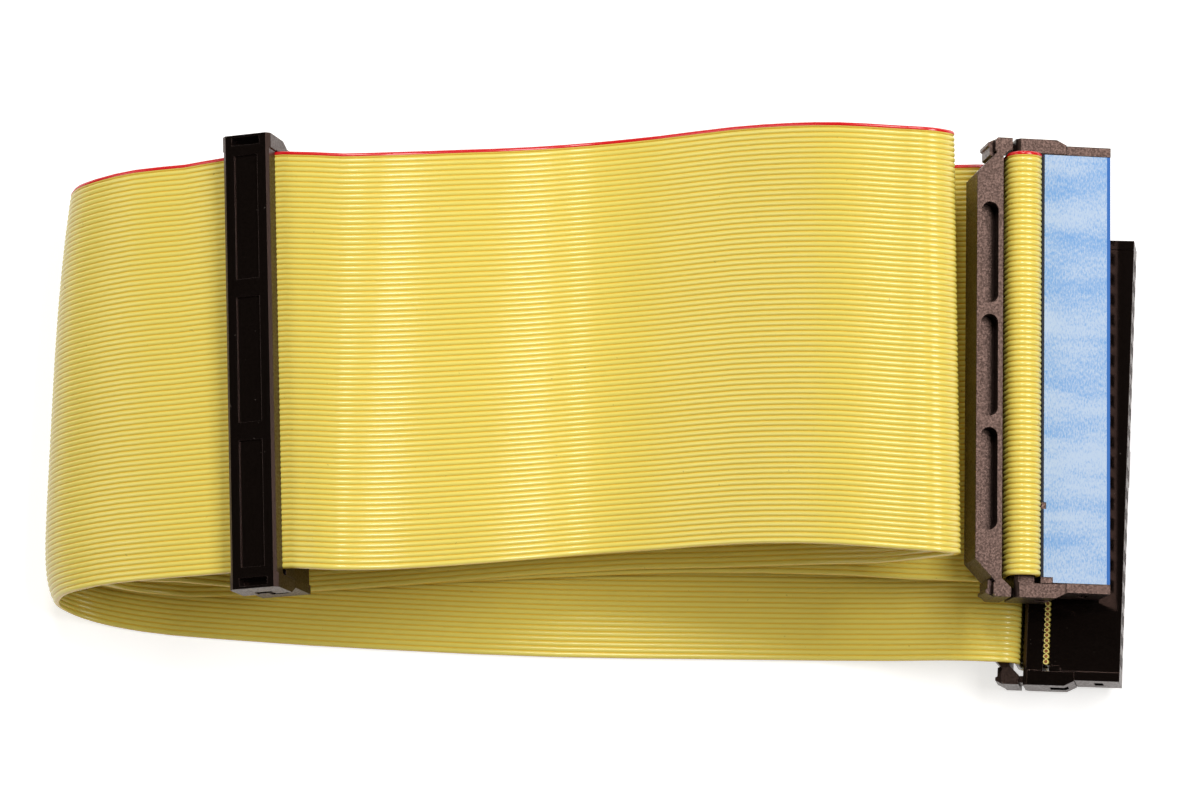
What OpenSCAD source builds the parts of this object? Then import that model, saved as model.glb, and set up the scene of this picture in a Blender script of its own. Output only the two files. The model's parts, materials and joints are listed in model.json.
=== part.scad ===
// Folded 80-wire ribbon cable with three 2-row insulation-displacement sockets.
// Each socket has its own frame: +X towards the mating face, +Y towards wire 1 (the red edge),
// +Z across the two contact rows. x = 0 is the mid-plane of the cable where it is clamped.

/* [Cable] */
// Diameter of one insulated wire, which is also the cable's thickness
wire_d = 0.7; // [0.6:0.01:0.74]
// Diameter of the copper core
core_d = 0.28; // [0.2:0.01:0.34]

/* [Contacts] */
// Spacing of the contacts along a row and between the rows
pin_pitch = 2.54; // [2.3:0.01:2.8]
// Contacts in each row
pins_per_row = 20; // [10:1:22]
// Even-row position that is blocked as a key, counted from wire 1
key_position = 10; // [1:1:10]
// Width of the flat tuning-fork contact
contact_w = 1.5; // [1.3:0.05:1.6]
// Thickness of the contact's sheet metal
contact_t = 0.4; // [0.3:0.05:0.5]
// Side of the square hole that a pin enters
pin_hole = 1.0; // [0.8:0.05:1.2]

/* [Socket] */
// Thickness of a socket across its two rows
socket_t = 6.1; // [5.8:0.1:7.4]
// Depth of the housing from the clamped cable to the mating face
housing_h = 8.8; // [7.5:0.1:11]
// Depth of the cover behind the clamped cable
cover_h = 2.7; // [2.3:0.1:4]
// Length that the housing adds past the contact field at each end
end_wall = 1.5; // [1.3:0.1:2.4]
// Thickness of the cover's end legs
leg_t = 1.7; // [1.4:0.1:2.1]
// Reach of the legs along the housing's ends
leg_reach = 3.4; // [2.8:0.1:5]
// Height of the polarising key on the housing's lower side
key_h = 1.2; // [0.8:0.1:1.4]
// Length of the polarising key
key_l = 4.4; // [3:0.1:6]

/* [Strain relief] */
// Depth of the bar
bar_h = 3.2; // [2.6:0.1:4.2]
// Gap between cover and bar that the cable runs down through
bar_gap = 1.6; // [1.5:0.1:2.4]
// Width of the obround pockets in the bar
pocket_w = 2.0; // [1.4:0.1:2.2]
// Depth of the obround pockets
pocket_depth = 2.2; // [1:0.1:2.6]

/* [Label] */
// Thickness of the label on the host socket
label_t = 0.12; // [0.08:0.01:0.3]

/* [Hidden] */

// Height of the lower socket's face over the table, and of the upper socket's over the lower one
end_rise = 1.27;
stack_rise = 3.88;
// Where each socket lies: position of its frame, then turns about X, Y and Z
host_pos = [53.3, 3.65, end_rise + 1.5 * socket_t + stack_rise];
host_turn = [1.7, 11, -0.85];
middle_pos = [-39.1, 4.6, 19];
middle_turn = [-2.6, 76.8, -0.6];
end_pos = [56.3, -5.65, end_rise + socket_t / 2];
end_turn = [0.3, -6.5, -3.2];

// Height of the centre line where the cable lies on the table
lie = wire_d / 2;
// Free stretches of the cable's centre line: x, y, z, then the turn of its width about Z and X
host_to_middle = [
    [38.9, 4.9, 8.6, 0, 1], [30.9, 5.8, 6.2, 0, 0], [20.9, 6.5, 3.9, 0, 0], [10.9, 6.8, 2.5, 0, 0],
    [-7.1, 6.4, 1.7, 0, 0], [-25.1, 5.6, 1.6, 0, 0], [-41.1, 4.5, 1.6, 0, 0], [-49.1, 4.4, 2, -0.5, 0],
    [-54.3, 4.7, 3.7, -1, 0], [-57.7, 5, 6.4, -1, 0], [-58.6, 5, 8.4, -1, 0],
    [-57.5, 5.1, 10, -1, 0], [-54.5, 5.2, 10.3, -1, 0], [-49.1, 5.2, 8.8, -0.5, 0],
    [-43.1, 4.9, 6.2, 0, 0], [-34.1, 4.7, 3.6, 0, 0], [-23.1, 5.5, 2.8, 0, 0], [-7.1, 6.7, 2.7, 0, 0],
    [4.9, 7.2, 3.2, 0, 0], [15.9, 7.1, 4.6, 0, 0], [26.9, 6.9, 7.7, 0, 0], [34.3, 6.4, 11.4, 0, 0],
    [39.5, 6.2, 15.5, 0, 0], [42.7, 5.9, 19.8, 0, 0], [43.9, 5.7, 22.6, 0, 0],
    [42.5, 5.6, 24.3, 0, 0], [36.9, 6.1, 24.3, 0, 0], [30.5, 6.8, 23.3, 0, 0],
    [25, 7.4, 21, 0, 0], [17.9, 7.9, 17.5, 0, 0],
    [8.9, 8, 13.2, 0, 0], [-0.1, 7.8, 10.9, 0, 0], [-7.1, 7.1, 12, 0, 0], [-15.1, 5.9, 15.9, 0, 0],
    [-22.6, 4.8, 19.9, -0.2, -0.8], [-29.1, 4.5, 21.2, -0.4, -1.8]];
middle_to_end = [
    [-49.1, 4.5, 16.3, -1, -1], [-55.6, 4.3, 14.4, -1.5, 0], [-60.7, 3.9, 11.9, -1.5, 0],
    [-64, 3.5, 8.9, -1.5, 0], [-65, 3, 5.8, -1.7, 0], [-63.7, 2.4, 2.8, -2, 0],
    [-60.1, 1.5, 0.9, -2.5, 0], [-54.1, 0.4, lie + 0.05, -2.5, 0], [-43.1, -0.7, lie, -2.5, 0],
    [-23.1, -2.1, lie, -2.5, 0], [-3.1, -3.1, lie, -2.5, 0], [15.9, -3.5, lie, -2.5, 0],
    [28.9, -3.8, 0.7, -2.5, 0], [37.4, -4.2, 2.8, -3, 0], [43.9, -4.6, 6, -3, 0]];
longest_span = 21;
finest_bend = 46;

// Wires and cable
wire_count = 4 * pins_per_row;
wire_pitch = pin_pitch / 4;
cable_w = wire_count * wire_pitch;
// The ground wires come first, so the cable lies half a wire off the middle of the contacts
cable_shift = wire_pitch / 2;
cable_corner = wire_d / 4;
fit = 0.02;
clamp_gap = wire_d / 2 + fit;
slit_room = 0.03;
end_stub = 0.08;
tip_h = 0.08;

// Socket
side = socket_t / 2;
row_z = pin_pitch / 2;
field_l = pins_per_row * pin_pitch;
housing_l = field_l + 2 * end_wall;
leg_fit = 0.05;
leg_in = cable_w / 2 + cable_shift + 0.18;
cover_l = 2 * (leg_in + leg_t);
neck_l = 2 * (leg_in - leg_fit);
relief_step = 0.15;
edge_bevel = 0.5;
leg_chamfer = 0.6;
ledge_l = 1.75;
ledge_h = 0.6;
cavity_w = contact_w + 0.2;
cavity_t = 1.5;
mouth_t = 0.9;
clamp_t = 1.0;
shoulder_in = clamp_gap + clamp_t;
groove_r = 0.3;
groove_in = 0.12;

// Contact: fork that straddles a wire, and beams that grip the pin
fork_w = wire_pitch - 0.05;
fork_slot = 0.2;
fork_tip = -clamp_gap - 0.85;
beam_w = 0.32;
beam_gap = 0.5;
signal_offsets = [wire_pitch, -wire_pitch];
comb_t = 0.3;
comb_spine = 0.7;

// Latch of the cover's legs over the housing's ends
catch_x = 1.5;
catch_w = 2.2;
catch_h = 0.6;
catch_l = 1.2;

// Strain relief
bar_in = -cover_h - bar_gap;
bar_out = bar_in - bar_h;
arm_w = 2.1;
arm_in = -cover_h - 0.5;
tab_in = -cover_h + 1.5;
tab_t = 0.8;
tab_w = 3.2;
tab_y = leg_in + leg_t / 2 + 0.05;
arm_l = 1.8;
hook_t = 4.2;
bar_taper = 2.6;
pocket_l = 12.2;
pocket_step = 13.6;

/* ---- small helpers ---- */
function unit(v) = v / norm(v);

// A point of a socket's frame in the model's frame
function turned(p, a) =
    let(y1 = p.y * cos(a.x) - p.z * sin(a.x), z1 = p.y * sin(a.x) + p.z * cos(a.x))
    let(x2 = p.x * cos(a.y) + z1 * sin(a.y), z2 = z1 * cos(a.y) - p.x * sin(a.y))
    [x2 * cos(a.z) - y1 * sin(a.z), x2 * sin(a.z) + y1 * cos(a.z), z2];
function at_socket(xz, pos, turn) =
    let(p = pos + turned([xz.x, cable_shift, xz.y], turn), v = turned([0, 1, 0], turn))
    [p.x, p.y, p.z, atan2(-v.x, v.y), asin(v.z)];

module at_host() translate(host_pos) rotate(host_turn) children();
module at_middle() translate(middle_pos) rotate(middle_turn) children();
module at_end() translate(end_pos) rotate(end_turn) children();

/* ---- cable ---- */
// Loop over the host's cover: up through the clamp, over the back, down behind it
drop_x = -cover_h - bar_gap / 2;
over_h = 1.6;
under_h = 0.47;
host_loop = [[0, -side - end_stub], [0, side - 0.1], [-0.2, side + 0.8], [-0.8, side + 1.4],
    [drop_x / 2, side + over_h], [drop_x + 0.7, side + 1.3], [drop_x, side + 0.3],
    [drop_x, 0.6 - side], [drop_x - 0.7, -side - 0.6], [drop_x - 2.5, -side - 1]];
// Loop under the end socket's cover, which lies on the table, from over its bar
end_loop = [[drop_x - 2.4, side + 0.9], [drop_x - 0.7, side + 0.6], [drop_x, side - 0.6],
    [drop_x, 0.1 - side], [drop_x + 0.35, -side - 0.36], [drop_x + 0.95, -side - under_h],
    [-0.95, -side - under_h], [-0.22, -side - under_h + 0.02], [0, -side], [0, side + end_stub]];
route = concat(
    [for (p = host_loop) at_socket(p, host_pos, host_turn)], host_to_middle,
    [for (z = [side + 0.8, -side - 0.8]) at_socket([0, z], middle_pos, middle_turn)], middle_to_end,
    [for (p = end_loop) at_socket(p, end_pos, end_turn)]);

function spot(i) = [route[i].x, route[i].y, route[i].z];
function span(i) = spot(i + 1) - spot(i);
function heading(i) =
    i == 0 ? unit(span(0)) :
    i == len(route) - 1 ? unit(span(i - 1)) :
    unit(unit(span(i - 1)) * norm(span(i)) + unit(span(i)) * norm(span(i - 1)));
// Point on the smooth curve between two route points, u from 0 to 1
function between(i, u) =
    let(s = norm(span(i)), uu = u * u, uuu = uu * u)
    (2 * uuu - 3 * uu + 1) * spot(i) + (uuu - 2 * uu + u) * s * heading(i)
    + (3 * uu - 2 * uuu) * spot(i + 1) + (uuu - uu) * s * heading(i + 1);
function along(i, u) =
    let(e = 0.01, a = max(0, u - e), b = min(1, u + e)) unit(between(i, b) - between(i, a));
function width_turn(i, u) = let(a = route[i], b = route[i + 1]) [a[3], a[4]] * (1 - u) + [b[3], b[4]] * u;

// Eight-sided section of the flat cable
half_w = cable_w / 2 + (wire_d - wire_pitch) / 2;
section = [for (s = [[1, 1], [-1, 1], [-1, -1], [1, -1]])
    for (c = s.x * s.y > 0 ? [[half_w, wire_d / 2 - cable_corner], [half_w - cable_corner, wire_d / 2]]
        : [[half_w - cable_corner, wire_d / 2], [half_w, wire_d / 2 - cable_corner]])
    [c.x * s.x, c.y * s.y]];
function ring(i, u) =
    let(t = width_turn(i, u), across = [-sin(t.x) * cos(t.y), cos(t.x) * cos(t.y), sin(t.y)])
    let(up = unit(cross(along(i, u), across)), mid = between(i, u))
    [for (q = section) mid + q.x * across + q.y * up];
// More rings where the cable bends
function bend(i) = acos(max(-1, min(1, heading(i) * heading(i + 1))));
function steps(i) = max(1, ceil(bend(i) / finest_bend), ceil(norm(span(i)) / longest_span));
rings = [for (i = [0:len(route) - 2]) let(n = steps(i)) for (k = [0:n - 1]) ring(i, k / n),
    ring(len(route) - 2, 1)];

module cable_body() {
    sides = len(section);
    last = (len(rings) - 1) * sides;
    polyhedron(
        points = [for (r = rings) each r],
        faces = concat(
            [for (k = [0:len(rings) - 2], j = [0:sides - 1]) let(n = (j + 1) % sides)
                each [[k * sides + j, k * sides + n, (k + 1) * sides + n],
                    [k * sides + j, (k + 1) * sides + n, (k + 1) * sides + j]]],
            [[for (j = [sides - 1:-1:0]) j], [for (j = [0:sides - 1]) last + j]]));
}

module ribbon() {
    color("khaki") difference() {
        cable_body();
        at_host() pierced_slits();
        at_middle() pierced_slits();
        at_end() pierced_slits();
    }
}

// What the forks cut in the cable
module pierced_slits() {
    for (row = [0, 1], i = [0:pins_per_row - 1])
        if (has_contact(row, i))
            translate([0, pin_y(i) + signal_offsets[row], row_sign(row) * row_z])
                cube([2 * wire_d, fork_w + slit_room, contact_t + slit_room], center = true);
    for (i = [0:2 * pins_per_row - 1])
        translate([0, ground_y(i), 0])
            cube([2 * wire_d, fork_w + slit_room, comb_t + slit_room], center = true);
}

// Bare copper at a cut end
module wire_tips(z, out) {
    color("peru") for (i = [0:wire_count - 1])
        translate([0, wire_y(i), z]) rotate([out > 0 ? 0 : 180, 0, 0]) cylinder(h = tip_h, d = core_d, $fn = 16);
}

function wire_y(i) = (wire_count / 2 - 0.5 - i) * wire_pitch + cable_shift;
function pin_y(i) = ((pins_per_row - 1) / 2 - i) * pin_pitch;
function ground_y(i) = wire_y(2 * i);
function row_sign(row) = row == 0 ? 1 : -1;
function has_contact(row, i) = row == 0 || i != key_position - 1;

/* ---- contacts ---- */
// Flat stamping: forked blade at -x, base, two beams that close on the pin at +x
module contact_outline(y) {
    tip = housing_h - mouth_t - 0.15;
    base = shoulder_in + 0.2;
    w = contact_w / 2;
    difference() {
        union() {
            translate([base, -w]) square([tip - base, contact_w]);
            translate([base, min(-w, y - fork_w / 2)]) square([0.9, contact_w / 2 + abs(y) + fork_w / 2]);
            polygon([[base + 0.1, y - fork_w / 2], [fork_tip + 0.3, y - fork_w / 2],
                [fork_tip, y - fork_slot / 2], [fork_tip, y + fork_slot / 2],
                [fork_tip + 0.3, y + fork_w / 2], [base + 0.1, y + fork_w / 2]]);
        }
        translate([fork_tip - 1, y - fork_slot / 2]) square([1 - fork_tip + clamp_gap, fork_slot]);
        polygon([[base + 1.5, -beam_gap / 2], [base + 1.2, 0], [base + 1.5, beam_gap / 2],
            [tip - 1.8, w - beam_w], [tip - 1, 0.25], [tip + 0.1, w - 0.15],
            [tip + 0.1, 0.15 - w], [tip - 1, -0.25], [tip - 1.8, beam_w - w]]);
    }
}

module contacts(row) {
    color("goldenrod") for (i = [0:pins_per_row - 1])
        if (has_contact(row, i))
            translate([0, pin_y(i), row_sign(row) * row_z - contact_t / 2])
                linear_extrude(contact_t) contact_outline(signal_offsets[row]);
}

// One strip that joins every second wire to ground, with a fork for each of them
module ground_comb() {
    n = 2 * pins_per_row;
    foot = shoulder_in + 0.1;
    w = fork_w / 2;
    g = fork_slot / 2;
    color("silver") translate([0, 0, -comb_t / 2]) linear_extrude(comb_t) polygon(concat(
        [[foot + comb_spine, ground_y(n - 1) - w], [foot + comb_spine, ground_y(0) + w]],
        [for (i = [0:n - 1]) let(y = ground_y(i))
            each [[foot, y + w], [fork_tip + 0.3, y + w], [fork_tip, y + g], [clamp_gap, y + g],
                [clamp_gap, y - g], [fork_tip, y - g], [fork_tip + 0.3, y - w], [foot, y - w]]]));
}

/* ---- socket mouldings ---- */
// Edge that clamps the cable: a round groove for each wire, with a tooth left between them
module grooves(x, dir) {
    for (i = [0:wire_count - 1])
        translate([x + dir * (groove_in - groove_r), wire_y(i)]) circle(groove_r, $fn = 32);
}

// Contact field in a plane across x: one opening for each contact of both rows
module field(w, t, all = true) {
    for (row = [0, 1], i = [0:pins_per_row - 1])
        if (all || has_contact(row, i))
            translate([row_sign(row) * -row_z, pin_y(i)]) square([t, w], center = true);
}

// Turns an outline drawn across the socket (thickness, length) into a slab from x0 to x1
module slab(x0, x1) translate([x0, 0, 0]) rotate([0, 90, 0]) linear_extrude(x1 - x0) children();

module housing() {
    cavity_end = housing_h - mouth_t;
    foot_w = 2 * wire_pitch + fork_w + 0.1;
    color([0.13, 0.11, 0.11]) difference() {
        union() {
            clamp_plate();
            slab(shoulder_in, leg_reach + leg_fit) difference() {
                square([socket_t, neck_l], center = true);
                field(foot_w, cavity_t);
            }
            slab(leg_reach + leg_fit, cavity_end) difference() {
                square([socket_t, housing_l], center = true);
                field(cavity_w, cavity_t);
            }
            slab(cavity_end, housing_h) difference() {
                square([socket_t, housing_l], center = true);
                field(pin_hole, pin_hole, all = false);
            }
            polarising_key();
            for (e = [1, -1]) end_catch(e);
        }
        face_steps(clamp_gap, housing_h + 1);
        comb_slot();
        pin_lead_ins();
        for (e = [1, -1]) end_slot(e);
        side_notches();
    }
}

module clamp_plate() {
    difference() {
        translate([0, 0, -side]) linear_extrude(socket_t) difference() {
            translate([clamp_gap, -neck_l / 2]) square([clamp_t, neck_l]);
            grooves(clamp_gap, 1);
        }
        for (row = [0, 1], i = [0:pins_per_row - 1])
            if (has_contact(row, i))
                translate([0, pin_y(i) + signal_offsets[row], row_sign(row) * row_z])
                    cube([3 * shoulder_in, fork_w + slit_room, contact_t + slit_room], center = true);
    }
}

// Slot for the ground comb, in the wall between the two rows
module comb_slot() {
    y0 = ground_y(2 * pins_per_row - 1) - fork_w / 2 - 0.05;
    translate([0, y0, -comb_t / 2 - slit_room / 2])
        cube([shoulder_in + comb_spine + 0.2, neck_l / 2 + 0.1 - y0, comb_t + slit_room]);
}

// Wider first step of each pin hole
module pin_lead_ins() {
    for (row = [0, 1], i = [0:pins_per_row - 1])
        if (has_contact(row, i))
            translate([housing_h, pin_y(i), row_sign(row) * row_z])
                cube([0.5, pin_hole + 0.5, pin_hole + 0.5], center = true);
}

// Rounded step beside the last wire, level with the ends
module ledge(l) {
    translate([-1, -1, -1]) linear_extrude(4) offset(0.3, $fn = 32) offset(-0.3)
        square([l + 1, ledge_h + 1]);
}

module polarising_key() {
    translate([leg_reach + 1, -key_l / 2, -side - key_h]) cube([housing_h - leg_reach - 1, key_l, key_h + 0.5]);
}

// The long sides are set back a little between the ends
module face_steps(x0, x1) {
    l = field_l + 0.8;
    for (s = [1, -1])
        translate([x0 - 1, -l / 2, s > 0 ? side - relief_step : -side - 1])
            difference() {
                cube([x1 - x0 + 1, l, 1 + relief_step]);
                if (s < 0 && x0 > 0)
                    translate([0, l / 2 - key_l / 2, -1]) cube([x1 - x0 + 2, key_l, 3]);
                if (x0 > 0) ledge(1 + ledge_l - x0);
            }
}

// Notches between the contacts along the lower mating edge
module side_notches() {
    for (i = [0:pins_per_row - 2])
        if (abs(pin_y(i) - row_z) > key_l / 2 + 0.5)
            translate([housing_h - 0.5, pin_y(i) - row_z - 0.5, -side - 1]) cube([1, 1, 1.5]);
}

// Half-round catch that the leg's window snaps over
module end_catch(e) {
    translate([catch_x, e * (neck_l / 2 - 0.01), 0]) rotate([0, 0, e * 90 - 90]) rotate([90, 0, 90])
        linear_extrude(0.01 + catch_h) intersection() {
            translate([0, 0]) circle(d = catch_w - 0.3, $fn = 32);
            translate([-catch_w, -catch_w]) square([2 * catch_w, 2 * catch_w]);
        }
}

module end_slot(e) {
    translate([housing_h - 2.6, e * housing_l / 2, 0]) cube([1.1, 1.6, 2.2], center = true);
}

module cover() {
    w = cover_l / 2;
    color([0.13, 0.11, 0.11]) difference() {
        translate([0, 0, -side]) linear_extrude(socket_t) difference() {
            polygon([[-cover_h, w], [-cover_h, -w], [leg_reach - 2 * leg_chamfer, -w],
                [leg_reach, leg_chamfer - w], [leg_reach, -leg_in], [-clamp_gap, -leg_in],
                [-clamp_gap, leg_in], [leg_reach, leg_in], [leg_reach, w - leg_chamfer],
                [leg_reach - 2 * leg_chamfer, w]]);
            grooves(-clamp_gap, -1);
        }
        for (z = [-row_z, 0, row_z])
            translate([fork_tip - 0.2, wire_y(wire_count - 1) - wire_pitch / 2, z - contact_t / 2 - slit_room])
                cube([2, cable_w, contact_t + 2 * slit_room]);
        face_steps(-cover_h, -0.1);
        for (s = [1, -1]) translate([-cover_h, 0, s * side]) rotate([0, 45, 0])
            cube([edge_bevel * 1.41, cover_l + 1, edge_bevel * 1.41], center = true);
        for (k = [-1, 0, 1]) back_panel(k);
        for (e = [1, -1]) {
            leg_window(e);
            back_window(e);
        }
    }
}

// Shallow moulded panel in the cover's back
module back_panel(k) {
    l = field_l * 0.3;
    translate([-cover_h, k * field_l * 0.343, 0]) cube([0.6, l, 2.9], center = true);
}

module back_window(e) {
    translate([-cover_h, e * tab_y, 0]) cube([3.4, tab_t + 0.2, tab_w + 0.3], center = true);
}

module leg_window(e) {
    translate([catch_x, e * (leg_in + catch_h / 2), 0]) cube([catch_w, leg_t * 3, catch_w], center = true);
}

/* ---- strain relief ---- */
module bar_pocket(l) {
    r = pocket_w / 2;
    union() {
        square([pocket_w, l - pocket_w], center = true);
        for (e = [1, -1]) translate([0, e * (l / 2 - r)]) circle(r, $fn = 48);
    }
}

module strain_relief() {
    w = cover_l / 2;
    shoulder = w - 2.4;
    arm_out = arm_in - arm_w;
    neck = w - arm_l;
    half = [[bar_in, shoulder + 0.2], [arm_in, shoulder + 1.25], [arm_in, w], [arm_out + 0.3, w],
        [arm_out, w - 0.3], [arm_out, neck + 0.2], [arm_out + 0.2, neck], [bar_out, neck - bar_taper]];
    color([0.19, 0.16, 0.155]) difference() {
        union() {
            translate([0, 0, -side]) linear_extrude(socket_t) polygon(concat(
                half, [for (k = [len(half) - 1:-1:0]) [half[k].x, -half[k].y]]));
            for (e = [1, -1]) end_hook(e, arm_out, w);
        }
        strain_pockets();
    }
    // Tabs that plug into the windows in the cover's back
    color([0.19, 0.16, 0.155]) for (e = [1, -1])
        translate([arm_in, e * tab_y - tab_t / 2, -tab_w / 2]) cube([tab_in - arm_in, tab_t, tab_w]);
}

// Finger grip at each end of the bar, set back from both faces
module end_hook(e, arm_out, w) {
    grip = [[arm_out + 0.5, w - 0.05], [arm_out + 0.2, w - 0.05], [arm_out - 0.75, w - 0.5],
        [arm_out - 0.75, w - 0.85], [arm_out - 0.5, w - 1], [arm_out - 0.5, w - 2],
        [arm_out, w - 2.3], [arm_out + 0.5, w - 2.3]];
    translate([0, 0, -hook_t / 2]) linear_extrude(hook_t)
        polygon([for (g = grip) [g.x, e * g.y]]);
}

module strain_pockets() {
    for (s = [1, -1], k = [-1, 0, 1])
        translate([(bar_in + bar_out) / 2, k * pocket_step, s * side - pocket_depth])
            linear_extrude(2 * pocket_depth) bar_pocket(pocket_l);
}

/* ---- label ---- */
module label() {
    x0 = clamp_gap + 0.05;
    l = field_l + 0.7;
    z = side - relief_step;
    color("lightsteelblue") difference() {
        translate([x0, -l / 2, z]) cube([housing_h - 0.05 - x0, l, label_t]);
        translate([x0 - 1, -l / 2 - 1, z - 1]) cube([ledge_l + 1.1 - x0, ledge_h + 1.05, 3]);
        translate([x0 - 1, -field_l * 0.335, z - 1]) cube([1.6, 0.8, 3]);
    }
}

ribbon();
at_host() housing();  // host_housing
at_host() cover();  // host_cover
at_host() strain_relief();  // host_strain_relief
at_host() contacts(0);  // host_odd_contacts
at_host() contacts(1);  // host_even_contacts
at_host() ground_comb();  // host_ground_comb
at_host() wire_tips(-side - end_stub, -1);  // host_wire_tips
at_host() label();  // host_label
at_middle() housing();  // middle_housing
at_middle() cover();  // middle_cover
at_middle() contacts(0);  // middle_odd_contacts
at_middle() contacts(1);  // middle_even_contacts
at_middle() ground_comb();  // middle_ground_comb
at_end() housing();  // end_housing
at_end() cover();  // end_cover
at_end() strain_relief();  // end_strain_relief
at_end() contacts(0);  // end_odd_contacts
at_end() contacts(1);  // end_even_contacts
at_end() ground_comb();  // end_ground_comb
at_end() wire_tips(side + end_stub, 1);  // end_wire_tips
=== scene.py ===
import bpy
import bmesh
import json
import math
import numpy as np
from mathutils import Matrix, Vector

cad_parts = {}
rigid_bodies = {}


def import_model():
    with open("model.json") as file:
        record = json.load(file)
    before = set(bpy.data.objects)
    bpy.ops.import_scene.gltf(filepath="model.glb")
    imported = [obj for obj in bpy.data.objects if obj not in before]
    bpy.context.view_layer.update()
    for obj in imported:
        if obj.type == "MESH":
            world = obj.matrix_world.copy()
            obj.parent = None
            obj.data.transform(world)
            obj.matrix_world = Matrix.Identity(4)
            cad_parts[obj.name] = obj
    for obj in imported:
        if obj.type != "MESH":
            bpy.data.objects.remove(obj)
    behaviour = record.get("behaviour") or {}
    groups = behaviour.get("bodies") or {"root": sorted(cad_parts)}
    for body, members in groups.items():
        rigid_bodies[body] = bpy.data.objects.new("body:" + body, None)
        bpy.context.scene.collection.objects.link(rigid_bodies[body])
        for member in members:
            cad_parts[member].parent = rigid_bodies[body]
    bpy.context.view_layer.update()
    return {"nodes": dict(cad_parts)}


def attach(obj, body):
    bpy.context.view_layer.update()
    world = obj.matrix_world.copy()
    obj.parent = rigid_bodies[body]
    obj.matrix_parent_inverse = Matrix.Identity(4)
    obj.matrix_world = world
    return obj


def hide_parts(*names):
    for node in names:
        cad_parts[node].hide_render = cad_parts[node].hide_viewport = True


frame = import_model()
nodes = frame["nodes"]
mm = 0.001
print("frame loaded:", len(nodes), "nodes")


def clearSelection():
    for item in bpy.context.view_layer.objects:
        item.select_set(False)


def newMaterial(name):
    material = bpy.data.materials.new(name)
    material.use_nodes = True
    tree = material.node_tree
    shader = next(n for n in tree.nodes if n.type == "BSDF_PRINCIPLED")
    return material, tree, shader


def addNode(tree, kind, **settings):
    node = tree.nodes.new(kind)
    for key, value in settings.items():
        setattr(node, key, value)
    return node


def objectCoordinates(tree):
    return addNode(tree, "ShaderNodeTexCoord").outputs["Object"]


def coordinates(tree, vector):
    node = addNode(tree, "ShaderNodeSeparateXYZ")
    tree.links.new(vector, node.inputs["Vector"])
    return node.outputs["X"], node.outputs["Y"]


def mapping(tree, vector, kind="POINT", **settings):
    node = addNode(tree, "ShaderNodeMapping", vector_type=kind)
    for socket, value in settings.items():
        node.inputs[socket].default_value = value
    tree.links.new(vector, node.inputs["Vector"])
    return node.outputs["Vector"]


def noise(tree, where, scale, detail, roughness=0.5):
    node = addNode(tree, "ShaderNodeTexNoise")
    node.inputs["Scale"].default_value = scale
    node.inputs["Detail"].default_value = detail
    node.inputs["Roughness"].default_value = roughness
    tree.links.new(where, node.inputs["Vector"])
    return node.outputs["Fac"]


def ramp(tree, value, stops):
    node = addNode(tree, "ShaderNodeValToRGB")
    band = node.color_ramp
    band.elements[0].position, band.elements[0].color = stops[0][0], (*stops[0][1], 1)
    band.elements[1].position, band.elements[1].color = stops[-1][0], (*stops[-1][1], 1)
    for place, colour in stops[1:-1]:
        band.elements.new(place).color = (*colour, 1)
    tree.links.new(value, node.inputs["Fac"])
    return node.outputs["Color"]


def spread(tree, value, low, high, fromLow=0.0, fromHigh=1.0):
    node = addNode(tree, "ShaderNodeMapRange")
    node.inputs["From Min"].default_value = fromLow
    node.inputs["From Max"].default_value = fromHigh
    node.inputs["To Min"].default_value = low
    node.inputs["To Max"].default_value = high
    tree.links.new(value, node.inputs["Value"])
    return node.outputs["Result"]


def math2(tree, operation, a, b=0.0):
    node = addNode(tree, "ShaderNodeMath", operation=operation)
    for socket, value in zip(node.inputs, (a, b)):
        if isinstance(value, (int, float)):
            socket.default_value = value
        else:
            tree.links.new(value, socket)
    return node.outputs["Value"]


def mixColour(tree, factor, a, b):
    node = addNode(tree, "ShaderNodeMix", data_type="RGBA")
    for socket, value in zip((node.inputs[0], node.inputs[6], node.inputs[7]), (factor, a, b)):
        if isinstance(value, (int, float)):
            socket.default_value = value
        elif isinstance(value, tuple):
            socket.default_value = (*value, 1)
        else:
            tree.links.new(value, socket)
    return node.outputs[2]


def tint(tree, tone, colour, amount, pattern, low=0.0, high=1.0):
    return mixColour(tree, spread(tree, pattern, 0.0, amount, low, high), tone, colour)


def bump(tree, shader, height, distance, strength, under=None):
    node = addNode(tree, "ShaderNodeBump")
    node.inputs["Strength"].default_value = strength
    node.inputs["Distance"].default_value = distance
    tree.links.new(height, node.inputs["Height"])
    if under is not None:
        tree.links.new(under, node.inputs["Normal"])
    tree.links.new(node.outputs["Normal"], shader.inputs["Normal"])


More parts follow.
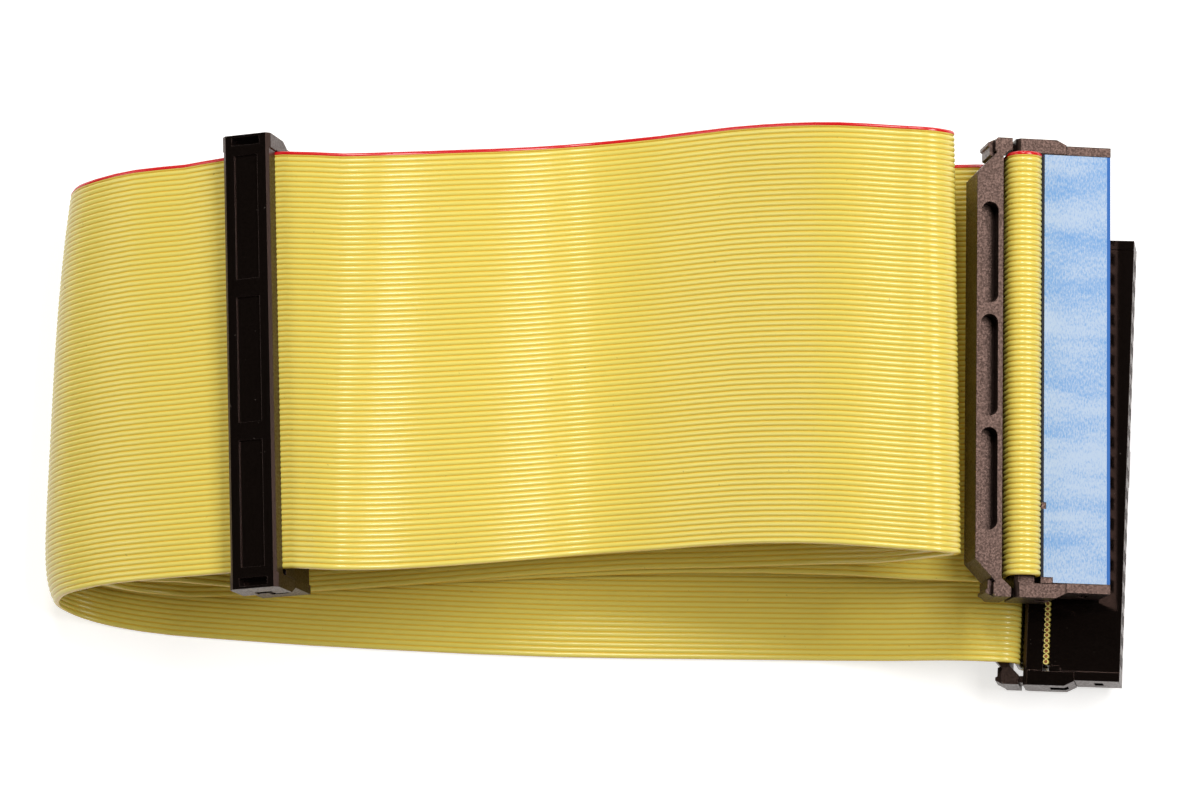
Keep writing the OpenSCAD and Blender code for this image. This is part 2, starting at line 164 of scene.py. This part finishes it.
# In millimetres and degrees. A route point is x, y, z of the cable's middle line, then the turn of its
# width about Z and about X.
ribbon = {
    "wires": 80,
    "wireThickness": 0.70,
    "pitch": 0.635,
    "edgeGap": 0.004,                       # between wire 1 and the others
    "socketThickness": 6.1,
    "coverDepth": 2.7,
    "barGap": 1.6,                          # between a cover and its strain relief's bar
    "bulgeOver": 1.6, "bulgeUnder": 0.47,   # how far the cable stands out where it turns round a cover
    "endStub": 0.08,                        # what is left past the socket at a cut end
    "webShare": 0.6, "webCut": 0.3,         # at a cut end, how low a web is, and what is left of its height
    "arcSteps": 4,                          # facets across the top of one wire
    "bendStep": 18, "longStep": 17,         # most between two rings in the hidden layers
    "fineBend": 7, "fineLong": 5,           # and in the top layer
    "fineSpans": (31, 56),                  # the part of the route that is the top layer
    "smoothAngle": 50,
    "foldAt": 361.2, "foldSpread": 8.5,     # where the outer fold swells along the cable
    "foldOut": 0.58,
    "foldTopDraw": 1.0, "foldTopPower": 2.4,    # the swelling dies out towards both edges
    "foldLowDraw": 1.6, "foldLowPower": 9,
    "hostPlace": (53.3, 3.65, 14.3), "hostTurn": (1.7, 11, -0.85),
    "middlePlace": (-39.1, 4.6, 19.0), "middleTurn": (-2.6, 76.8, -0.6),
    "endPlace": (56.3, -5.65, 4.32), "endTurn": (0.3, -6.5, -3.2),
    "hostToMiddle": [
        (38.9, 4.9, 8.6, 0, 1), (30.9, 5.8, 6.2, 0, 0), (20.9, 6.5, 3.9, 0, 0), (10.9, 6.8, 2.5, 0, 0),
        (-7.1, 6.4, 1.7, 0, 0), (-25.1, 5.6, 1.6, 0, 0), (-41.1, 4.5, 1.6, 0, 0), (-49.1, 4.4, 2, -0.5, 0),
        (-54.3, 4.7, 3.7, -1, 0), (-57.7, 5, 6.4, -1, 0), (-58.6, 5, 8.4, -1, 0),
        (-57.5, 5.1, 10, -1, 0), (-54.5, 5.2, 10.3, -1, 0), (-49.1, 5.2, 8.8, -0.5, 0),
        (-43.1, 4.9, 6.2, 0, 0), (-34.1, 4.7, 3.6, 0, 0), (-23.1, 5.5, 2.8, 0, 0), (-7.1, 6.7, 2.7, 0, 0),
        (4.9, 7.2, 3.2, 0, 0), (15.9, 7.1, 4.6, 0, 0), (26.9, 6.9, 7.7, 0, 0), (34.3, 6.4, 11.4, 0, 0),
        (39.5, 6.2, 15.5, 0, 0), (42.7, 5.9, 19.8, 0, 0), (43.9, 5.7, 22.6, 0, 0),
        (42.5, 5.6, 24.3, 0, 0), (36.9, 6.1, 24.3, 0, 0), (30.5, 6.8, 23.3, 0, 0),
        (25, 7.4, 21, 0, 0), (17.9, 7.9, 17.5, 0, 0), (8.9, 8, 13.2, 0, 0), (-0.1, 7.8, 10.9, 0, 0),
        (-7.1, 7.1, 12, 0, 0), (-15.1, 5.9, 15.9, 0, 0), (-22.6, 4.8, 19.9, -0.2, -0.8),
        (-29.1, 4.5, 21.2, -0.4, -1.8)],
    "middleToEnd": [
        (-49.1, 4.5, 16.3, -1, -1), (-55.6, 4.3, 14.4, -1.5, 0), (-60.7, 3.9, 11.9, -1.5, 0),
        (-64, 3.5, 8.9, -1.5, 0), (-65, 3, 5.8, -1.7, 0), (-63.7, 2.4, 2.8, -2, 0),
        (-60.1, 1.5, 0.9, -2.5, 0), (-54.1, 0.4, 0.4, -2.5, 0), (-43.1, -0.7, 0.35, -2.5, 0),
        (-23.1, -2.1, 0.35, -2.5, 0), (-3.1, -3.1, 0.35, -2.5, 0), (15.9, -3.5, 0.35, -2.5, 0),
        (28.9, -3.8, 0.7, -2.5, 0), (37.4, -4.2, 2.8, -3, 0), (43.9, -4.6, 6, -3, 0)],
}


def turned(point, turn):               # about X, then Y, then Z
    ax, ay, az = (math.radians(t) for t in turn)
    x, y, z = point
    y, z = y * math.cos(ax) - z * math.sin(ax), y * math.sin(ax) + z * math.cos(ax)
    x, z = x * math.cos(ay) + z * math.sin(ay), z * math.cos(ay) - x * math.sin(ay)
    return np.array([x * math.cos(az) - y * math.sin(az), x * math.sin(az) + y * math.cos(az), z])


# Points given as x and z in a socket's own axes; the cable lies half a wire off the socket's middle.
def throughSocket(points, place, turn):
    halfWire = ribbon["pitch"] / 2
    width = turned((0, 1, 0), turn)
    turnZ = math.degrees(math.atan2(-width[0], width[1]))
    turnX = math.degrees(math.asin(width[2]))
    return [(*(np.array(place) + turned((x, halfWire, z), turn)), turnZ, turnX) for x, z in points]


# The host and end sockets turn the cable back over the cover; the middle socket lets it straight through.
def ribbonRoute():
    side = ribbon["socketThickness"] / 2
    dropX = -ribbon["coverDepth"] - ribbon["barGap"] / 2       # midway under the relief's bar
    over, under, stub = ribbon["bulgeOver"], ribbon["bulgeUnder"], ribbon["endStub"]
    hostLoop = [(0, -side - stub), (0, side - 0.1), (-0.2, side + 0.8), (-0.8, side + 1.4),
                (dropX / 2, side + over), (dropX + 0.7, side + 1.3), (dropX, side + 0.3),
                (dropX, 0.6 - side), (dropX - 0.7, -side - 0.6), (dropX - 2.5, -side - 1)]
    endLoop = [(dropX - 2.4, side + 0.9), (dropX - 0.7, side + 0.6), (dropX, side - 0.6),
               (dropX, 0.1 - side), (dropX + 0.35, -side - 0.36), (dropX + 0.95, -side - under),
               (-0.95, -side - under), (-0.22, -side - under + 0.02), (0, -side), (0, side + stub)]
    middle = [(0, side + 0.8), (0, -side - 0.8)]
    return (throughSocket(hostLoop, ribbon["hostPlace"], ribbon["hostTurn"]) + ribbon["hostToMiddle"]
            + throughSocket(middle, ribbon["middlePlace"], ribbon["middleTurn"]) + ribbon["middleToEnd"]
            + throughSocket(endLoop, ribbon["endPlace"], ribbon["endTurn"]))


# A smooth curve through the route, as points and the direction of the cable's width at each.
def smoothLine(route):
    spots = np.array([p[:3] for p in route], float)
    turns = np.array([p[3:5] for p in route], float)
    spans = np.diff(spots, axis=0)
    lengths = np.linalg.norm(spans, axis=1)
    straight = spans / lengths[:, None]
    headings = [straight[0]]
    for i in range(1, len(spots) - 1):
        h = straight[i - 1] * lengths[i] + straight[i] * lengths[i - 1]
        headings.append(h / np.linalg.norm(h))
    headings.append(straight[-1])
    fineFrom, fineTo = ribbon["fineSpans"]
    centres, widths = [], []
    for i in range(len(spans)):
        fine = fineFrom <= i < fineTo
        bendStep = ribbon["fineBend" if fine else "bendStep"]
        longStep = ribbon["fineLong" if fine else "longStep"]
        bend = math.degrees(math.acos(max(-1, min(1, float(np.dot(headings[i], headings[i + 1]))))))
        steps = max(1, math.ceil(bend / bendStep), math.ceil(lengths[i] / longStep))
        for k in range(steps + (i == len(spans) - 1)):
            u = k / steps
            a, b = 2 * u**3 - 3 * u**2 + 1, u**3 - 2 * u**2 + u
            c, d = 3 * u**2 - 2 * u**3, u**3 - u**2
            centres.append(a * spots[i] + b * lengths[i] * headings[i]
                           + c * spots[i + 1] + d * lengths[i] * headings[i + 1])
            turnZ, turnX = np.radians(turns[i] * (1 - u) + turns[i + 1] * u)
            level = math.cos(turnX)
            widths.append([-math.sin(turnZ) * level, math.cos(turnZ) * level, math.sin(turnX)])
    return np.array(centres), np.array(widths)


# The upper and the lower outline of wires first to last, side by side, as points across and up. A side of
# the cable is round, and a side that meets another wire ends in the valley between them.
def wireOutline(first, last):
    count, pitch, radius = ribbon["wires"], ribbon["pitch"], ribbon["wireThickness"] / 2
    valley = math.asin(pitch / 2 / radius)
    top = []
    for i in range(first, last + 1):
        middle = ((count - 1) / 2 - i) * pitch
        start = math.pi / 2 if i == 0 else valley
        stop = -math.pi / 2 if i == count - 1 else -valley
        for k in range(ribbon["arcSteps"] + (i == last)):
            angle = start + (stop - start) * k / ribbon["arcSteps"]
            top.append((middle + radius * math.sin(angle), radius * math.cos(angle)))
    startsOpen, endsOpen = first > 0, last < count - 1
    under = [(y, -z) for y, z in top[(0 if startsOpen else 1):(len(top) if endsOpen else -1)]]
    return np.array(top), np.array(under[::-1]), 1 if startsOpen else 0


def foldSwell(place, across):          # how far the outer fold stands out to the left, in millimetres
    t = np.clip(across / (ribbon["wires"] * ribbon["pitch"] / 2), -1, 1)
    out = (ribbon["foldOut"] - ribbon["foldTopDraw"] * np.maximum(t, 0) ** ribbon["foldTopPower"]
           - ribbon["foldLowDraw"] * np.maximum(-t, 0) ** ribbon["foldLowPower"])
    return out * math.exp(-((place - ribbon["foldAt"]) / ribbon["foldSpread"]) ** 2)


def wireRings(outline, centres, widths, distance):
    along = np.gradient(centres, axis=0)
    along /= np.linalg.norm(along, axis=1)[:, None]
    up = np.cross(along, widths)
    up /= np.linalg.norm(up, axis=1)[:, None]
    web = ribbon["webShare"] * ribbon["wireThickness"] / 2
    rings = []
    for k in range(len(centres)):
        lift = outline[:, 1].copy()
        if k in (0, len(centres) - 1):     # a cut end
            lift[np.abs(lift) < web] *= ribbon["webCut"]
        ring = centres[k] + outline[:, :1] * widths[k] + lift[:, None] * up[k]
        ring[:, 0] -= foldSwell(distance[k], outline[:, 0])
        rings.append(ring)
    return np.concatenate(rings) * mm


cutMark = -10       # a cut end's faces are mapped round this distance, which no other face has


# Faces, and for each corner the wire it is on, counted across, and its distance along the cable.
def wireFaces(outline, tops, openStart, distance):
    sides, count = len(outline), len(distance)
    wireAt = ribbon["wires"] / 2 - outline[:, 0] / ribbon["pitch"]
    faces, mapped = [], []
    for k in range(count - 1):
        for j in range(sides):
            n = (j + 1) % sides
            faces.append((k * sides + j, k * sides + n, (k + 1) * sides + n, (k + 1) * sides + j))
            ahead = wireAt[0] if n == 0 and not openStart else wireAt[n]
            mapped += [(wireAt[j], distance[k]), (ahead, distance[k]),
                       (ahead, distance[k + 1]), (wireAt[j], distance[k + 1])]
    for ring, order in ((0, -1), (count - 1, 1)):      # the two cut ends
        for j in range(tops - 1):
            corners = [j, j + 1, (sides - 1 - openStart - j) % sides, (sides - openStart - j) % sides]
            corners = [c for i, c in enumerate(corners) if c not in corners[:i]][::order]
            faces.append([ring * sides + c for c in corners])
            mapped += [(wireAt[c], cutMark + outline[c, 1] / ribbon["pitch"]) for c in corners]
    return faces, mapped


def sweepWires(name, first, last, inset=0.0):
    centres, widths = smoothLine(ribbonRoute())
    distance = np.concatenate([[0], np.cumsum(np.linalg.norm(np.diff(centres, axis=0), axis=1))])
    top, under, openStart = wireOutline(first, last)
    outline = np.concatenate([top, under])
    outline[:, 0] += inset
    faces, mapped = wireFaces(outline, len(top), openStart, distance)
    mesh = bpy.data.meshes.new(name)
    mesh.from_pydata(wireRings(outline, centres, widths, distance).tolist(), [], faces)
    mesh.uv_layers.new(name="wires").data.foreach_set("uv", np.array(mapped, np.float32).ravel())
    mesh.update()
    piece = bpy.data.objects.new(name, mesh)
    bpy.context.collection.objects.link(piece)
    shell = bmesh.new()
    shell.from_mesh(mesh)
    if shell.calc_volume(signed=True) < 0:
        bmesh.ops.reverse_faces(shell, faces=shell.faces)
    openEdges = sum(not e.is_manifold for e in shell.edges)
    shell.to_mesh(mesh)
    shell.free()
    clearSelection()
    bpy.context.view_layer.objects.active = piece
    piece.select_set(True)
    bpy.ops.object.shade_smooth_by_angle(angle=math.radians(ribbon["smoothAngle"]))
    triangles = sum(len(p.vertices) - 2 for p in mesh.polygons)
    print(name, "rings", len(centres), "triangles", triangles, "open edges", openEdges)
    return piece, centres, widths, distance


vinyl = {
    "crest": (0.90, 0.775, 0.165),
    # painted shade: the valley colour makes the hollows between the wires darker and more orange
    "valley": (0.84, 0.54, 0.055),
    "dull": (0.74, 0.58, 0.10),
    "grime": (0.30, 0.20, 0.05),
    "red": (0.72, 0.006, 0.010),
    "redShare": 0.72,                   # outer part of wire 1 that is red
    "cutRing": (0.90, 0.76, 0.25),
    "cutInside": (0.22, 0.11, 0.02),
    "crestHalf": 0.30,                  # the crest's colour reaches this far from a wire's middle, in wires
    "cutCore": 0.29, "cutRingFrom": 0.34,
    "wireShade": 0.10,                  # how much the wires differ
    "cloudScale": 90, "cloudShade": 0.12, "cloudRange": (0.35, 0.75),
    "speckScale": 1500, "speckShade": 0.5, "speckRange": (0.76, 0.82),
    "smearScale": 260, "smooth": -0.04, "smeared": 0.06,
    "grainScale": 2600, "grainDepth": 0.00001, "grainShare": 0.4,
    "roughness": 0.22, "shine": 0.9,
}


def vinylMaterial():
    material, tree, shader = newMaterial("yellowVinyl")
    wire, place = coordinates(tree, addNode(tree, "ShaderNodeUVMap", uv_map="wires").outputs["UV"])
    where = objectCoordinates(tree)
    fromCrest = math2(tree, "ABSOLUTE", math2(tree, "SUBTRACT", math2(tree, "FRACT", wire), 0.5))
    # painted shade: the colour turns darker and more orange from each wire's crest towards the valley
    # beside it
    tone = ramp(tree, fromCrest, [(0.0, vinyl["crest"]), (vinyl["crestHalf"], vinyl["crest"]),
                                  (0.5, vinyl["valley"])])
    which = addNode(tree, "ShaderNodeTexWhiteNoise", noise_dimensions="1D")
    tree.links.new(math2(tree, "FLOOR", wire), which.inputs["W"])
    tone = tint(tree, tone, vinyl["dull"], vinyl["wireShade"], which.outputs["Value"])
    cloud = noise(tree, where, vinyl["cloudScale"], 4)
    tone = tint(tree, tone, vinyl["dull"], vinyl["cloudShade"], cloud, *vinyl["cloudRange"])
    specks = noise(tree, where, vinyl["speckScale"], 2, 0.4)
    tone = tint(tree, tone, vinyl["grime"], vinyl["speckShade"], specks, *vinyl["speckRange"])
    tone = mixColour(tree, math2(tree, "LESS_THAN", wire, vinyl["redShare"]), tone, vinyl["red"])
    height = math2(tree, "ADD", place, -cutMark)       # on a cut end, over the wire's middle
    squares = [math2(tree, "MULTIPLY", value, value) for value in (fromCrest, height)]
    fromCore = math2(tree, "SQRT", math2(tree, "ADD", *squares))
    cut = ramp(tree, fromCore, [(0.0, vinyl["cutInside"]), (vinyl["cutCore"], vinyl["cutInside"]),
                                (vinyl["cutRingFrom"], vinyl["cutRing"]), (1.0, vinyl["cutRing"])])
    tone = mixColour(tree, math2(tree, "LESS_THAN", place, cutMark / 2), tone, cut)
    tree.links.new(tone, shader.inputs["Base Color"])
    smear = noise(tree, where, vinyl["smearScale"], 3)
    roughness = spread(tree, smear, vinyl["roughness"] + vinyl["smooth"],
                       vinyl["roughness"] + vinyl["smeared"])
    tree.links.new(roughness, shader.inputs["Roughness"])
    shader.inputs["Specular IOR Level"].default_value = vinyl["shine"]
    grain = noise(tree, where, vinyl["grainScale"], 2)
    bump(tree, shader, grain, vinyl["grainDepth"], vinyl["grainShare"])
    return material


cableVinyl = vinylMaterial()
ribbonPiece, centres, widths, distance = sweepWires("ribbonCable", 1, ribbon["wires"] - 1)
edgeWire = sweepWires("edgeWire", 0, 0, ribbon["edgeGap"])[0]
for piece in (ribbonPiece, edgeWire):
    piece.data.materials.append(cableVinyl)
    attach(piece, "root")
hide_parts("ribbon")


plastic = {
    "dark": (0.0016, 0.0013, 0.0012),
    "light": (0.0050, 0.0036, 0.0032),
    "dust": (0.10, 0.085, 0.075),
    "dustScale": 2300, "dustShade": 0.6, "dustRange": (0.76, 0.80),
    "tint": (1.0, 0.64, 0.53), "shine": 0.75,       # of the reflections
    "grainScale": 4200, "grainDepth": 0.00002, "grainRange": (0.30, 0.72),
    "matt": 0.40, "mattSpread": 0.12, "mattRange": (0.35, 0.65),
    "gloss": 0.10,
    "glossyCosine": 0.94,               # faces turned this nearly along the glossy axis are smooth
    "edgeRound": 0.00007,
}


def plasticMaterial(name, glossyAxis=None):
    material, tree, shader = newMaterial(name)
    where = objectCoordinates(tree)
    matt = 1.0
    if glossyAxis is not None:
        facing = addNode(tree, "ShaderNodeVectorMath", operation="DOT_PRODUCT")
        facing.inputs[1].default_value = glossyAxis
        tree.links.new(addNode(tree, "ShaderNodeTexCoord").outputs["Normal"], facing.inputs[0])
        cosine = math2(tree, "ABSOLUTE", facing.outputs["Value"])
        matt = math2(tree, "LESS_THAN", cosine, plastic["glossyCosine"])
    grain = noise(tree, where, plastic["grainScale"], 2, 0.6)
    darkest, lightest = plastic["grainRange"]
    tone = ramp(tree, grain, [(darkest, plastic["dark"]), (lightest, plastic["light"])])
    dust = noise(tree, where, plastic["dustScale"], 2, 0.4)
    tone = tint(tree, tone, plastic["dust"], plastic["dustShade"], dust, *plastic["dustRange"])
    tree.links.new(tone, shader.inputs["Base Color"])
    shader.inputs["Specular Tint"].default_value = (*plastic["tint"], 1)
    shader.inputs["Specular IOR Level"].default_value = plastic["shine"]
    pits = plastic["matt"] + plastic["mattSpread"] - plastic["gloss"]
    peaks = plastic["matt"] - plastic["mattSpread"] - plastic["gloss"]
    grained = spread(tree, grain, pits, peaks, *plastic["mattRange"])
    roughness = math2(tree, "ADD", plastic["gloss"], math2(tree, "MULTIPLY", matt, grained))
    tree.links.new(roughness, shader.inputs["Roughness"])
    rounded = addNode(tree, "ShaderNodeBevel", samples=4)
    rounded.inputs["Radius"].default_value = plastic["edgeRound"]
    height = math2(tree, "MULTIPLY", matt, grain)
    bump(tree, shader, height, plastic["grainDepth"], 1.0, rounded.outputs["Normal"])
    return material


metal = {                               # colour and roughness of each
    "bronze": ((0.62, 0.42, 0.20), 0.3),
    "tin": ((0.62, 0.61, 0.58), 0.35),
    "copper": ((0.50, 0.17, 0.07), 0.4),
    "stainScale": 900, "stainShade": 0.7, "stainRange": (0.3, 0.7), "stainRoughness": 0.15,
}


def metalMaterial(name, kind):
    colour, roughness = metal[kind]
    material, tree, shader = newMaterial(name)
    shader.inputs["Metallic"].default_value = 1.0
    stain = noise(tree, objectCoordinates(tree), metal["stainScale"], 3)
    stained, clean = metal["stainRange"]
    tone = ramp(tree, stain, [(stained, tuple(c * metal["stainShade"] for c in colour)), (clean, colour)])
    tree.links.new(tone, shader.inputs["Base Color"])
    rough = spread(tree, stain, roughness, roughness + metal["stainRoughness"])
    tree.links.new(rough, shader.inputs["Roughness"])
    return material


label = {
    "pale": (0.47, 0.595, 0.78), "blue": (0.17, 0.37, 0.72),
    # the near-black strip along the label's edge by the wires is painted shade of the slot between cable
    # and label
    "edge": (0.022, 0.145, 0.50), "slotShade": (0.004, 0.008, 0.02),
    "across": (0.00045, 0.00875),       # metres over the socket, from the wires to the mating edge
    "edgeWidth": 0.0004, "slotShadeWidth": 0.00028,
    "fibreScale": 5600, "fibreStretch": 0.42, "fibreShare": 0.55, "fibreDepth": 0.00001,
    "bandScale": 260, "bandStretch": 0.3, "bandShare": 0.45,
    "inkRange": (0.40, 0.58),
    "roughness": 0.42, "shine": 0.15,
}


def labelMaterial():
    material, tree, shader = newMaterial("blueLabel")
    where = mapping(tree, objectCoordinates(tree), "TEXTURE",      # the host socket's own axes
                    Location=[c * mm for c in ribbon["hostPlace"]],
                    Rotation=[math.radians(t) for t in ribbon["hostTurn"]])
    alongRow = mapping(tree, where, Scale=(1.0, label["fibreStretch"], 1.0))
    fibres = noise(tree, alongRow, label["fibreScale"], 4, 0.65)
    overRow = mapping(tree, where, Scale=(label["bandStretch"], 1.0, 1.0))
    bands = noise(tree, overRow, label["bandScale"], 3, 0.6)
    mixed = math2(tree, "ADD", math2(tree, "MULTIPLY", fibres, label["fibreShare"]),
                  math2(tree, "MULTIPLY", bands, label["bandShare"]))
    inked, bare = label["inkRange"]
    tone = ramp(tree, mixed, [(inked, label["blue"]), (bare, label["pale"])])
    across = coordinates(tree, where)[0]
    low, high = label["across"]
    edge = math2(tree, "GREATER_THAN", across, high - label["edgeWidth"])
    tone = mixColour(tree, edge, tone, label["edge"])
    # painted shade: a near-black strip along the edge by the wires, where the slot between cable and label
    # lies in shadow
    slotShade = math2(tree, "LESS_THAN", across, low + label["slotShadeWidth"])
    tone = mixColour(tree, slotShade, tone, label["slotShade"])
    tree.links.new(tone, shader.inputs["Base Color"])
    shader.inputs["Roughness"].default_value = label["roughness"]
    shader.inputs["Specular IOR Level"].default_value = label["shine"]
    bump(tree, shader, fibres, label["fibreDepth"], 0.5)
    return material


# The middle socket is glossy on its back and its mating face, the end socket on its top and its underside.
finishes = {
    "grained": plasticMaterial("grainedPlastic"),
    "middle": plasticMaterial("middleSocketPlastic", turned((1, 0, 0), ribbon["middleTurn"])),
    "end": plasticMaterial("endSocketPlastic", turned((0, 0, 1), ribbon["endTurn"])),
    "contacts": metalMaterial("contactBronze", "bronze"),
    "comb": metalMaterial("tinnedComb", "tin"),
    "tips": metalMaterial("bareCopper", "copper"),
    "label": labelMaterial(),
}


def finishFor(name):
    socket, part = name.split("_")[0], name.split("_")[-1]
    if part == "relief" or (part in ("housing", "cover") and socket == "host"):
        return "grained"
    return socket if part in ("housing", "cover") else part


for name, node in nodes.items():
    if finishFor(name) in finishes:        # the plain cable keeps its own
        for place in range(len(node.material_slots)):
            node.material_slots[place].material = finishes[finishFor(name)]
print("finishes given to the CAD nodes")


studio = {
    "lookAt": (0.9, 3.4, 0.0), "distance": 550,     # millimetres
    "tilt": 11, "lean": 3,              # degrees off straight down, about X and about Y
    "lens": 134.1, "sensor": 36,        # millimetres
    "nearest": 0.01,                    # metres
    "floorSize": 6, "floorDrop": 0.0002,
    "floorColour": (0.72, 0.72, 0.72), "floorRoughness": 0.9,
    "floorGlow": 0.64,                  # makes the paper white to the camera and in reflections
    "worldStrength": 0.23,
    "worldColour": (1.0, 0.89, 0.74),
    "worldInGloss": 0.03,               # its strength in reflections
    "lights": {                         # place in metres, size in metres, watts
        "keySoftbox": ((0.30, 0.09, 0.50), (0.22, 0.4), 2.1),
        "topSoftbox": ((-0.03, 0.37, 0.52), (0.13, 0.28), 1.3),
        "leftSoftbox": ((-1.00, 0.10, 0.70), (0.42, 1.0), 2.3),
    },
}


def makeFloor():
    bpy.ops.mesh.primitive_plane_add(size=studio["floorSize"], location=(0, 0, -studio["floorDrop"]))
    floor = bpy.context.object
    floor.name = "studioFloor"
    material, tree, shader = newMaterial("studioPaper")
    shader.inputs["Base Color"].default_value = (*studio["floorColour"], 1)
    shader.inputs["Roughness"].default_value = studio["floorRoughness"]
    shader.inputs["Specular IOR Level"].default_value = 0.0
    rays = addNode(tree, "ShaderNodeLightPath")
    seen = math2(tree, "MAXIMUM", rays.outputs["Is Camera Ray"],
                 math2(tree, "MAXIMUM", rays.outputs["Is Glossy Ray"], rays.outputs["Is Transmission Ray"]))
    shader.inputs["Emission Color"].default_value = (1, 1, 1, 1)
    glow = math2(tree, "MULTIPLY", seen, studio["floorGlow"])
    tree.links.new(glow, shader.inputs["Emission Strength"])
    floor.data.materials.append(material)


def makeWorld():
    world = bpy.data.worlds.new("studioWorld")
    bpy.context.scene.world = world
    world.use_nodes = True
    tree = world.node_tree
    background = next(n for n in tree.nodes if n.type == "BACKGROUND")
    rays = addNode(tree, "ShaderNodeLightPath")
    seen = math2(tree, "MAXIMUM", rays.outputs["Is Camera Ray"], rays.outputs["Is Transmission Ray"])
    colour = mixColour(tree, seen, studio["worldColour"], (1.0, 1.0, 1.0))
    tree.links.new(colour, background.inputs["Color"])
    plain = spread(tree, rays.outputs["Is Glossy Ray"], studio["worldStrength"], studio["worldInGloss"])
    tree.links.new(math2(tree, "MAXIMUM", seen, plain), background.inputs["Strength"])


def makeLights():
    for name, (place, size, power) in studio["lights"].items():
        lamp = bpy.data.lights.new(name, "AREA")
        lamp.shape = "RECTANGLE"
        lamp.size, lamp.size_y = size
        lamp.energy = power
        light = bpy.data.objects.new(name, lamp)
        back = Vector(place).normalized()      # it faces the origin
        side = Vector((0, 1, 0)).cross(back).normalized()
        turn = Matrix((side, back.cross(side), back)).transposed()
        light.matrix_world = Matrix.Translation(place) @ turn.to_4x4()
        bpy.context.collection.objects.link(light)


def makeCamera():
    tilt = Matrix.Rotation(math.radians(studio["tilt"]), 3, "X")
    turn = Matrix.Rotation(math.radians(studio["lean"]), 3, "Y") @ tilt
    camera = bpy.data.objects.new("productCamera", bpy.data.cameras.new("productCamera"))
    place = (turn @ Vector((0, 0, studio["distance"])) + Vector(studio["lookAt"])) * mm
    camera.matrix_world = Matrix.Translation(place) @ turn.to_4x4()
    camera.data.lens = studio["lens"]
    camera.data.sensor_width = studio["sensor"]
    camera.data.clip_start = studio["nearest"]
    bpy.context.collection.objects.link(camera)
    bpy.context.scene.camera = camera


clearSelection()
makeFloor()
makeWorld()
makeLights()
makeCamera()
bpy.context.scene.view_settings.view_transform = "Standard"
print("studio set")
